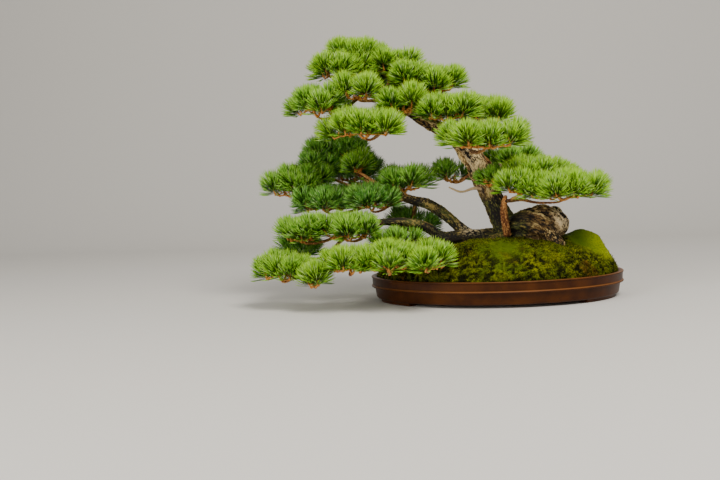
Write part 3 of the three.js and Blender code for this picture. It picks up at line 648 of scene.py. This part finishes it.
def barked(middle, radius, spacing, seed, craggy, youth, fluted=1.0, spiral=PLAIN_SPIRAL):
    """A limb's skin: rings round its middle, rounded off to a point at both ends. Flutes along it and the
    relief of its bark move each place in or out along its ring's radius. Both wind round the limb, by one
    radian in each spiral millimetres of its length."""
    length = np.linalg.norm(np.diff(middle, axis=0), axis=1).sum()
    run = np.linspace(0, length, len(middle))
    ends = np.clip(np.minimum(run, length - run) / radius, 0, 1)
    dome = np.sqrt(np.clip(1 - (1 - ends) ** 2, 0.0004, 1))[:, None]
    columns = max(6, int(2 * math.pi * radius.max() / spacing))
    angle = np.arange(columns) / columns * 2 * math.pi
    size = radius[:, None]
    winding = angle + run[:, None] / spiral + seed
    flutes = 0.06 * np.sin(3 * winding) + 0.035 * np.sin(7 * winding + 2 * np.sin(run / 40)[:, None])
    flutes *= fluted
    stretched = np.broadcast_to(run[:, None] / 3, winding.shape)
    around = [stretched, size * np.cos(winding), size * np.sin(winding)]
    space = np.stack(around, axis=-1).reshape(-1, 3)
    craggy = np.repeat(np.broadcast_to(craggy, len(run)), columns)
    fissure, own, relief, swelling = bark_relief(space, 2.1 + 0.06 * radius.mean(), seed)
    depth = 0.3 + 0.04 * np.broadcast_to(size, winding.shape).ravel()
    lift = (depth * (relief + 2.4 * craggy * swelling)).reshape(winding.shape)
    reach = (size * (1 + flutes) + lift) * dome
    skin = middle[:, None] + ring_directions(middle, angle) * reach[..., None]
    points = np.concatenate([skin.reshape(-1, 3), middle[:1], middle[-1:]])
    rows = len(middle)
    first, last = np.arange(columns), (rows - 1) * columns + np.arange(columns)
    pole = rows * columns
    faces = [
        grid_faces(rows, columns),
        np.stack([np.roll(first, -1), first, np.full(columns, pole)], axis=-1),
        np.stack([last, np.roll(last, -1), np.full(columns, pole + 1)], axis=-1),
    ]
    youth = np.repeat(np.broadcast_to(youth, rows), columns)
    return points, faces, bark_values(points, fissure, own, relief, swelling, craggy, youth)


def bark_values(points, fissure, own, relief, swelling, craggy, youth):
    """What the bark's finish reads at each place, with the two poles of the skin last. Besides the relief,
    whose heights paint highlight on raised flakes and shade in hollows, that is how low it lies, which paints
    the bark darker and more olive, partly as painted shade, and how much paler it is: the upper part of the
    lump's right end and the top front of one root are."""
    x, y, z = points.T
    # Darker and more olive lower down, partly as painted shade; less so on the lump.
    low = np.clip((224 - z) / 40, 0, 1) * (1 - 0.7 * np.clip((x - 56) / 24, 0, 1))
    # How raised a place is: raised flakes take painted highlight and hollows take painted shade.
    raised = np.clip(0.6 + 0.03 * craggy - 0.12 * low[:-2] + 0.38 * relief + 0.65 * swelling, 0, 1)
    # Paler where raised, on the upper part of the lump's right end.
    lump_end = np.clip((x - 100) / 28, 0, 1) * np.clip((z - 116) / 26, 0, 1)
    lump_end *= np.append(raised > 0.46, [1, 1])
    # Paler on the top front of one root.
    pale_root_top = np.clip(1 - abs(x + 42) / 26, 0, 1) * np.clip((z - 118) / 8, 0, 1) * (y < 0)
    values = {"fissure": fissure, "plate": own, "raised": raised, "young": youth}
    values = {key: np.append(value, [0.5, 0.5]) for key, value in values.items()}
    return values | {"pale_patch": np.maximum(lump_end, 0.7 * pale_root_top), "low": low}


def joined(parts):
    """Several (points, faces, values) as one, with each part's faces moved on past the points before it."""
    starts = np.cumsum([0] + [len(p[0]) for p in parts])
    points = np.concatenate([p[0] for p in parts])
    faces = [np.asarray(group) + start for p, start in zip(parts, starts) for group in p[1]]
    values = {key: np.concatenate([np.ravel(p[2][key]) for p in parts]) for key in parts[0][2]}
    return points, faces, values


def flaking_bark():
    """Old white pine bark: brown plates with painted highlight in tan on their raised edges, painted shade in
    their hollows and nearly black in their fissures, darker and more olive low down, partly as painted shade,
    and some green lichen low down. Where young is over 0 it is thin and orange-brown, and under 0 the wood is
    dead, bare and pale."""
    material, tree, shader = new_material("flaking pine bark", 0.85)
    read = read_values(tree, "fissure", "plate", "raised", "young", "pale_patch", "low")
    patch, grain = noise(tree, 34, 4.0), noise(tree, 2.2, 4.0)
    upper = mix_colours(tree, read["plate"], "#5f4020", "#a88246")
    lower = mix_colours(tree, read["plate"], "#271e09", "#54481d")
    # Plates darker and more olive low down, partly as painted shade.
    plates = mix_colours(tree, read["low"], upper, lower)
    grown = add_node(tree, "Math", {"operation": "MULTIPLY"}, Value=patch, Value_001=read["low"]).outputs[0]
    lichen = mix_colours(tree, ramp(tree, grown, 0.44, 0.56), plates, "#4a4f1c")
    # Painted highlight on raised flake edges, dimmer low down.
    edge = mix_colours(tree, read["low"], "#eacc8c", "#8e7a3c")
    highlighted_flakes = mix_colours(tree, ramp(tree, read["raised"], 0.52, 0.84), lichen, edge)
    # Cream on the two pale patches.
    bare = mix_colours(tree, read["pale_patch"], highlighted_flakes, "#ecd4a8")
    # Painted shade in the hollows between flakes.
    shaded_hollows = mix_colours(tree, ramp(tree, read["raised"], 0.16, 0.46), "#1a0f05", bare)
    # Painted shade, nearly black, in the fissures.
    old = mix_colours(tree, ramp(tree, read["fissure"], 0.15, 0.85), "#0b0602", shaded_hollows)
    warm = mix_colours(tree, ramp(tree, grain, 0.35, 0.65), "#a8642a", "#e2a65e")
    young = mix_colours(tree, ramp(tree, read["raised"], 0.1, 0.6), "#6a3816", warm)
    alive = mix_colours(tree, ramp(tree, read["young"], 0.0, 0.9), old, young)
    whole = mix_colours(tree, ramp(tree, read["young"], 0.0, -0.8), alive, "#c8ac84")
    finish_surface(tree, shader, whole, grain, 0.7, 0.6)
    return material


bark_finish = flaking_bark()
limbs = []
for number, name in enumerate(LIMBS):
    course, _ = limb_places(name, np.linspace(0, 1, 60))
    length = np.linalg.norm(np.diff(course, axis=0), axis=1).sum()
    thickest = max(place[3] for place in LIMBS[name])
    spacing = THICK_RING_SPACING if thickest > THICK else RING_SPACING
    t = np.linspace(0, 1, int(length / spacing))
    middle, radius = limb_places(name, t)
    knots = 2 * np.exp(-(((t - KNOTS_AT) / KNOTS_SPREAD) ** 2)) * (name == "trunk")
    craggy, youth = CRAGGY.get(name, 1) + knots, YOUTH.get(name, 0)
    flutes = (FLUTED.get(name, 1), SPIRAL.get(name, PLAIN_SPIRAL))
    limbs.append(barked(middle, radius, spacing, number + 1, craggy, youth, *flutes))
points, faces, values = joined(limbs)
make_piece("trunk_and_limbs", points, faces, bark_finish, ["wood"], values)

# Branches: one to each foliage pad. It leaves its limb at the stated share of the limb's length, dips, and
# comes up under the middle of the pad. Thinner than the limbs, its bark is smoother and younger.
BRANCHES = {
    "apex_left": ("trunk", 1), "apex_top": ("trunk", 0.98), "apex_right": ("trunk", 0.92),
    "finger_left": ("trunk", 0.955), "crown_middle": ("trunk", 0.89), "lower_left": ("trunk", 0.79),
    "crown_front": ("trunk", 0.83), "crown_inner": ("trunk", 0.86), "shoulder_top": ("trunk", 0.76),
    "shoulder_front": ("trunk", 0.66), "shoulder_right": ("trunk", 0.58), "right_front": ("trunk", 0.49),
    "right_outer": ("riser", 0.8), "right_upper": ("trunk", 0.4), "right_inner": ("riser", 0.8),
    "right_back": ("trunk", 0.5), "small_left": ("trunk", 0.4), "trunk_tuft": ("trunk", 0.42),
    "dark_crown": ("limb_high", 0.86), "dark_slope": ("limb_high", 0.96), "dark_right": ("limb_high", 0.84),
    "dark_upper": ("limb_high", 0.92), "left_tip": ("limb_high", 1), "left_step": ("limb_high", 0.96),
    "middle_left": ("limb_high", 0.88), "middle_right": ("limb_high", 0.8), "limb_top": ("limb_high", 0.76),
    "limb_under": ("limb_high", 0.66), "low_left": ("limb_low", 1), "low_middle": ("limb_low", 0.8),
    "low_back": ("limb_low", 0.9), "front_left": ("limb_front", 1), "front_left_inner": ("limb_front", 0.86),
    "front_rim": ("limb_front", 0.68), "front_middle": ("limb_front", 0.5),
    "front_right": ("limb_front", 0.3), "front_back": ("limb_front", 0.4), "back_crown": ("trunk", 0.85),
    "back_shoulder": ("trunk", 0.7), "back_right": ("trunk", 0.42), "back_left": ("limb_high", 0.84),
}
NEEDLE_REACH = 30
NEEDLE_RISE = 54
STEM_DROP = 2
BRANCH_TIP = 2.1


def pad_place(name):
    """The middle of a pad's fan, its half length and half depth, and the height of its dome, from the solid's
    box less the room that the needles take at its sides and top."""
    low, high = np.array(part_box("pad_" + name)) / MM - POT_MIDDLE
    hub = np.array([*(low + high)[:2] / 2, low[2] + STEM_DROP])
    reach = np.maximum((high - low)[:2] / 2 - NEEDLE_REACH, 4)
    return hub, reach, max(2.0, high[2] - hub[2] - NEEDLE_RISE)


def branch(name, number):
    """A cubic curve from the limb to the pad, which leaves nearly level, wavers and arrives rising. It thins
    as it goes, and its bark gets younger."""
    parent, share = BRANCHES[name]
    hub, _, _ = pad_place(name)
    (start, nearby), radii = limb_places(parent, np.array([share, max(0, share - 0.02)]))
    along = (start - nearby) / np.linalg.norm(start - nearby)
    level = (hub - start) * (1, 1, 0)
    level /= np.linalg.norm(level)
    reach = np.linalg.norm(hub - start)
    arrive = (level + (0, 0, 0.45)) / np.linalg.norm(level + (0, 0, 0.45))
    leave = 0.2 * along + 0.8 * level
    control = np.array([start, start + leave * reach * 0.33, hub - arrive * reach * 0.3, hub])
    steps = max(10, int(reach / 2.6))
    t = np.linspace(0, 1, steps)[:, None]
    weights = np.hstack([(1 - t) ** 3, 3 * t * (1 - t) ** 2, 3 * t**2 * (1 - t), t**3])
    middle = weights @ control
    sway = np.stack([cloud(middle, 26, number + k * 50) - 0.5 for k in range(3)], axis=-1)
    middle += 7 * sway * np.sin(t * math.pi)
    root = min(radii[0] * 0.8, 3 + reach * 0.028)
    radius = root + (BRANCH_TIP - root) * t[:, 0] ** 0.7
    return barked(middle, radius, 2.4, number + 30, 0.8, 0.25 + 0.55 * t[:, 0])


points, faces, values = joined([branch(name, number) for number, name in enumerate(BRANCHES)])
make_piece("branches", points, faces, bark_finish, values=values)

# Foliage pads: each is a low-domed fan of thin orange twigs, grown from the end of its branch, whose tips
# turn up as shoots. They stand some 20 mm apart, and each carries a tuft of needles in bundles of five.
GOLDEN_ANGLE = math.pi * (3 - math.sqrt(5))
TUFT_ROOM = 380
BUNDLES = 52
NEEDLES = 5
NEEDLE_LENGTH = (36, 42)
NEEDLE_WIDTH = 1.4
NEEDLE_WIDEST_AT = 0.76
# How far a pad's needles are painted darker and bluer, as painted shade where the pad lies in shade, and
# how short a small pad's are.
PAD_PAINTED_SHADE = {
    "dark_crown": 0.7, "dark_slope": 0.7, "dark_upper": 0.8, "dark_right": 0.3, "left_tip": 0.4,
    "left_step": 0.5, "middle_left": 0.8, "middle_right": 0.8, "limb_top": 0.6, "limb_under": 0.8,
    "low_back": 0.7, "front_back": 0.5, "back_left": 0.8, "back_crown": 0.5, "back_shoulder": 0.4,
    "right_back": 0.4, "small_left": 0.6, "low_left": 0.35, "low_middle": 0.35, "finger_left": 0.25,
    "front_left": 0.15, "trunk_tuft": 0.5,
}
GROWN = {"trunk_tuft": 0.62, "small_left": 0.9}


def shoot_places(name):
    """The middle and dome of a pad, and the feet and axes of its shoots: golden-angle places over its oval,
    on a low dome with a raised edge, leaning outwards."""
    hub, reach, dome = pad_place(name)
    count = max(3, int(math.pi * reach[0] * reach[1] / TUFT_ROOM))
    order = np.arange(count)
    share = np.sqrt((order + 0.5) / count)[:, None]
    angle = order * GOLDEN_ANGLE + hub[0]
    out = np.stack([np.cos(angle), np.sin(angle)], axis=-1) * share
    jitter = generator.normal(0, 1, (count, 3)) * (3.5, 3.5, 2.8)
    height = 1 + dome * (1 - share**2) + 5 * share**2
    feet = hub + np.hstack([out * reach * 1.07, height]) + jitter
    axes = np.hstack([out * 0.6, np.ones((count, 1))]) + generator.normal(0, 0.14, (count, 3))
    return hub, dome, feet, axes / np.linalg.norm(axes, axis=1, keepdims=True)


def twig(start, end, thick, thin, bend):
    """A four-sided twig between two places, bent aside between them, closed at both ends."""
    rings, sides = 4, 4
    t = np.linspace(0, 1, rings)[:, None]
    middle = start + (end - start) * t + np.array(bend) * (4 * t * (1 - t))
    ring = ring_directions(middle, np.arange(sides) / sides * 2 * math.pi)
    radius = thick + (thin - thick) * t
    points = (middle[:, None] + ring * radius[:, None]).reshape(-1, 3)
    cap = np.arange(sides)
    return points, [grid_faces(rings, sides), [cap[::-1]], [(rings - 1) * sides + cap]], {}


def pad_twigs(hub, dome, feet, axes):
    """The fan: a wavy spine arches out both ways from the middle and bends to the front, with short spurs on
    it. Every shoot hangs on the nearest place on it, or on a shoot before it. A twig is thicker the more
    shoots lie beyond it, and ends in an upturned shoot."""
    half = np.ptp(feet, axis=0) / 2
    steps = np.linspace(0, 0.85, 5)[1:]
    share = np.concatenate([-steps, steps])
    arch = dome * (1 - share**2) + 4 * share**2
    spine = hub + np.stack([share * half[0], -0.35 * half[1] * abs(share), arch], axis=-1)
    spine += generator.normal(0, 1, spine.shape) * (0, 2, 1.2)
    places = np.vstack([hub, spine, feet])
    first_shoot = 1 + len(spine)
    nearer = np.zeros(len(places), dtype=int)
    nearer[1:first_shoot] = (0, 1, 2, 3, 0, 5, 6, 7)
    for k in range(first_shoot, len(places)):
        away = np.linalg.norm(places[:k] - places[k], axis=1) + 0.2 * np.linalg.norm(places[:k] - hub, axis=1)
        nearer[k] = int(np.argmin(away))
    beyond = np.ones(len(places))
    for k in range(len(places) - 1, 0, -1):
        beyond[nearer[k]] += beyond[k]
    parts = []
    for k in range(1, len(places)):
        thick = 0.9 + 0.5 * math.sqrt(beyond[k])
        bend = generator.normal(0, 1.4, 3) * (1, 1, 0.6) - (0, 0, 1)
        parts.append(twig(places[nearer[k]], places[k], thick + 0.2, thick, bend))
        if k >= first_shoot:
            axis = axes[k - first_shoot]
            parts.append(twig(places[k] - axis * 1.2, places[k] + axis * 14, 2.1, 1.1, bend / 2))
    for spur in range(2 * len(spine)):
        start = spine[spur % len(spine)] + generator.normal(0, 1, 3) * (4, 2, 0.5)
        aim = generator.normal(0, 1, 3) * (0.6, 0.6, 0.3) + (0, 0, 1)
        parts.append(twig(start, start + aim * generator.uniform(6, 11), 1.6, 0.8, (0, 0, 0)))
    return parts


def needle_spines(foot, direction, bow, length, beside):
    """Closed three-sided spines, bowed up by the square of the share of their length, with their faces. Each
    widens from its foot to three quarters of its length and ends in a point."""
    across = np.cross(direction, beside)
    across /= np.linalg.norm(across, axis=1, keepdims=True)
    over = np.cross(direction, across)
    middle = foot + length * (NEEDLE_WIDEST_AT * direction + NEEDLE_WIDEST_AT**2 * bow)
    corners = [foot]
    for angle in np.radians((90, 210, 330)):
        corners.append(middle + NEEDLE_WIDTH / 2 * (math.cos(angle) * across + math.sin(angle) * over))
    corners.append(foot + length * (direction + bow))
    sides = np.array([(0, 2, 1), (0, 3, 2), (0, 1, 3), (1, 2, 4), (2, 3, 4), (3, 1, 4)])
    faces = np.arange(len(foot))[:, None, None] * len(corners) + sides
    return np.stack(corners, axis=1).reshape(-1, 3), faces.reshape(-1, 3)


def pad_needles(feet, axes, shade, grown):
    """Needles in bundles of five. The bundles stand up each shoot at the golden angle and lean out less
    towards its tip, and a needle strays a little from its bundle. Each tuft has its own shade and length, and
    a needle is shorter where it would pass the solids' box."""
    shoots = len(feet)
    step = np.tile(np.arange(BUNDLES), shoots)
    up = (step + generator.uniform(0, 1, len(step))) / BUNDLES
    axis = np.repeat(axes, BUNDLES, axis=0)
    side = np.cross(axis, (0, 1, 0))
    side /= np.linalg.norm(side, axis=1, keepdims=True)
    turn = (step * GOLDEN_ANGLE + np.repeat(generator.uniform(0, 6.28, shoots), BUNDLES))[:, None]
    lean = np.minimum(1.5 - 1.3 * up**0.6 + generator.normal(0, 0.14, len(up)), 1.6)[:, None]
    outward = np.cos(turn) * side + np.sin(turn) * np.cross(axis, side)
    bundle = np.cos(lean) * axis + np.sin(lean) * outward
    foot = np.repeat(feet, BUNDLES, axis=0) + axis * (1 + 12 * up)[:, None] + 1.2 * outward
    foot, bundle, outward, lean = (np.repeat(v, NEEDLES, axis=0) for v in (foot, bundle, outward, lean))
    count = len(foot)
    direction = bundle + generator.normal(0, 0.1, (count, 3))
    direction[:, 2] = np.maximum(direction[:, 2], -0.15)
    direction /= np.linalg.norm(direction, axis=1, keepdims=True)
    tuft = generator.uniform(-0.2, 0.2, shoots)
    grown = grown * (0.96 + 0.5 * np.repeat(tuft, BUNDLES * NEEDLES)[:, None])
    length = grown * generator.uniform(*NEEDLE_LENGTH, count)[:, None]
    bow = np.array([0, 0, 0.1]) * np.sin(lean)
    reach = length * (direction + bow)
    low, high = np.array(cad_box) / MM - POT_MIDDLE
    room = np.where(reach > 0, high - 1 - foot, foot - low - 1) / (abs(reach) + 0.01)
    length *= np.clip(room.min(axis=1, keepdims=True), 0.3, 1)
    points, faces = needle_spines(foot, direction, bow, length, outward + 0.01)
    own = np.repeat(generator.uniform(0.05, 1, len(up)) + np.repeat(tuft, BUNDLES), NEEDLES)
    own += generator.normal(0, 0.2, count)
    values = {
        "along": np.tile([0, *[NEEDLE_WIDEST_AT] * 3, 1], count),
        "pale": np.repeat(generator.uniform(0, 1, count) ** 3, 5),
        "own": np.repeat(np.clip(own, 0, 1), 5),
        # How much painted shade this pad's needles take.
        "painted_shade": np.full(5 * count, shade),
    }
    return points, [faces], values


def living_needles():
    """White pine needles: satin green of many shades, darker at the foot as painted shade, lighter and
    yellower towards the tip as painted highlight, a few with a pale waxy bloom. Needles of pads in shade are
    painted darker and bluer, as painted shade."""
    material, tree, shader = new_material("living pine needles", 0.42, Specular_IOR_Level=0.18)
    read = read_values(tree, "along", "pale", "own", "painted_shade")
    lit = mix_colours(tree, read["own"], "#3a8616", "#8cc41e")
    # Painted highlight: lighter and yellower towards the tip.
    tip_highlighted = mix_colours(tree, ramp(tree, read["along"], 0.4, 1.5), lit, "#b4d82c")
    # Painted shade: darker at the foot, inside the tuft.
    foot_shaded = mix_colours(tree, ramp(tree, read["along"], 0.0, 0.5), "#446c12", tip_highlighted)
    # Painted shade for the pads that lie in shade: darker and bluer.
    dark = mix_colours(tree, read["own"], "#34802e", "#80bc4c")
    toned = mix_colours(tree, read["painted_shade"], foot_shaded, dark)
    waxed = mix_colours(tree, ramp(tree, read["pale"], 0.4, 1.4), toned, "#cce0a0")
    finish_surface(tree, shader, waxed)
    return material


def young_twig_bark():
    """Thin young bark, smooth, from orange-brown to tan in small patches."""
    material, tree, shader = new_material("young twig bark", 0.6)
    patches = ramp(tree, noise(tree, 5, 3.0), 0.35, 0.65)
    finish_surface(tree, shader, mix_colours(tree, patches, "#b4661c", "#e6a64c"))
    return material


needle_finish = living_needles()
fans = []
for name in BRANCHES:
    hub, dome, feet, axes = shoot_places(name)
    fans += pad_twigs(hub, dome, feet, axes)
    points, faces, values = pad_needles(feet, axes, PAD_PAINTED_SHADE.get(name, 0), GROWN.get(name, 1))
    make_piece("needles_" + name, points, faces, needle_finish, ["pad_" + name], values)
points, faces, values = joined(fans)
make_piece("young_twigs", points, faces, young_twig_bark(), values=values)

# Floor, light and camera: a plain pale floor that curves up to a plain backdrop, a large soft lamp above
# the front right, a weaker one at the left, and the camera where the photograph was taken from.
CAMERA_PLACE = np.array([-30.1, -1713.4, 232.0])
CAMERA_YAW, CAMERA_PITCH, CAMERA_ROLL = np.radians([7.672, -3.785, -2.295])
CAMERA_LENS = 44
CAMERA_SENSOR = 36
PAPER_FRONT, PAPER_BACK, PAPER_TOP, PAPER_HALF_WIDTH = -4000, 2400, 4000, 5000
PAPER_BEND = 900
LAMP_COLOUR = (1, 0.95, 0.88)


def sweep_of_paper():
    """The floor's line runs level, curves up through a quarter circle and rises, and is carried across."""
    bend = np.linspace(0, math.pi / 2, 24)
    run = np.array([PAPER_FRONT, *(PAPER_BACK - PAPER_BEND + PAPER_BEND * np.sin(bend)), PAPER_BACK])
    rise = np.array([0, *(PAPER_BEND - PAPER_BEND * np.cos(bend)), PAPER_TOP])
    points = np.array([(x, y, z) for y, z in zip(run, rise) for x in (-PAPER_HALF_WIDTH, PAPER_HALF_WIDTH)])
    mesh = bpy.data.meshes.new("paper_sweep")
    mesh.from_pydata((points * MM).tolist(), [], grid_faces(len(run), 2, closed=False).tolist())
    mesh.shade_smooth()
    mesh.materials.append(new_material("plain pale paper", 0.9, Base_Color=linear("#d9d7d2"))[0])
    sweep = bpy.data.objects.new("paper_sweep", mesh)
    bpy.context.scene.collection.objects.link(sweep)


def soft_lamp(name, place, size, watts):
    """A square lamp of warm white, with its size and place in metres, turned to the middle of the tree."""
    lamp = bpy.data.lights.new(name, "AREA")
    lamp.size = size
    lamp.color = LAMP_COLOUR
    lamp.energy = watts
    holder = bpy.data.objects.new(name, lamp)
    holder.location = place
    target = np.array([0, 0, 0.25])
    back = np.array(place) - target
    holder.rotation_euler = (math.acos(back[2] / np.linalg.norm(back)), 0, math.atan2(back[0], -back[1]))
    bpy.context.scene.collection.objects.link(holder)


sweep_of_paper()
soft_lamp("key", (0.9, -1.6, 2.3), 1.1, 80)
soft_lamp("fill", (-1.6, -2.0, 0.9), 1.6, 40)
world = bpy.data.worlds.new("soft grey room")
world.use_nodes = True
world.node_tree.nodes["Background"].inputs["Color"].default_value = (1, 0.98, 0.95, 1)
world.node_tree.nodes["Background"].inputs["Strength"].default_value = 0.4
bpy.context.scene.world = world

camera_data = bpy.data.cameras.new("camera")
camera_data.lens = CAMERA_LENS
camera_data.sensor_width = CAMERA_SENSOR
camera = bpy.data.objects.new("camera", camera_data)
level_ahead = np.array([-math.sin(CAMERA_YAW), math.cos(CAMERA_YAW), 0])
ahead = math.cos(CAMERA_PITCH) * level_ahead + (0, 0, math.sin(CAMERA_PITCH))
level_right = np.array([math.cos(CAMERA_YAW), math.sin(CAMERA_YAW), 0])
level_up = np.cross(level_right, ahead)
right = math.cos(CAMERA_ROLL) * level_right + math.sin(CAMERA_ROLL) * level_up
up = math.cos(CAMERA_ROLL) * level_up - math.sin(CAMERA_ROLL) * level_right
turned = np.eye(4)
turned[:3, :3] = np.stack([right, up, -ahead], axis=1)
turned[:3, 3] = (CAMERA_PLACE + POT_MIDDLE) * MM
camera.matrix_world = turned.T
bpy.context.scene.collection.objects.link(camera)
bpy.context.scene.camera = camera
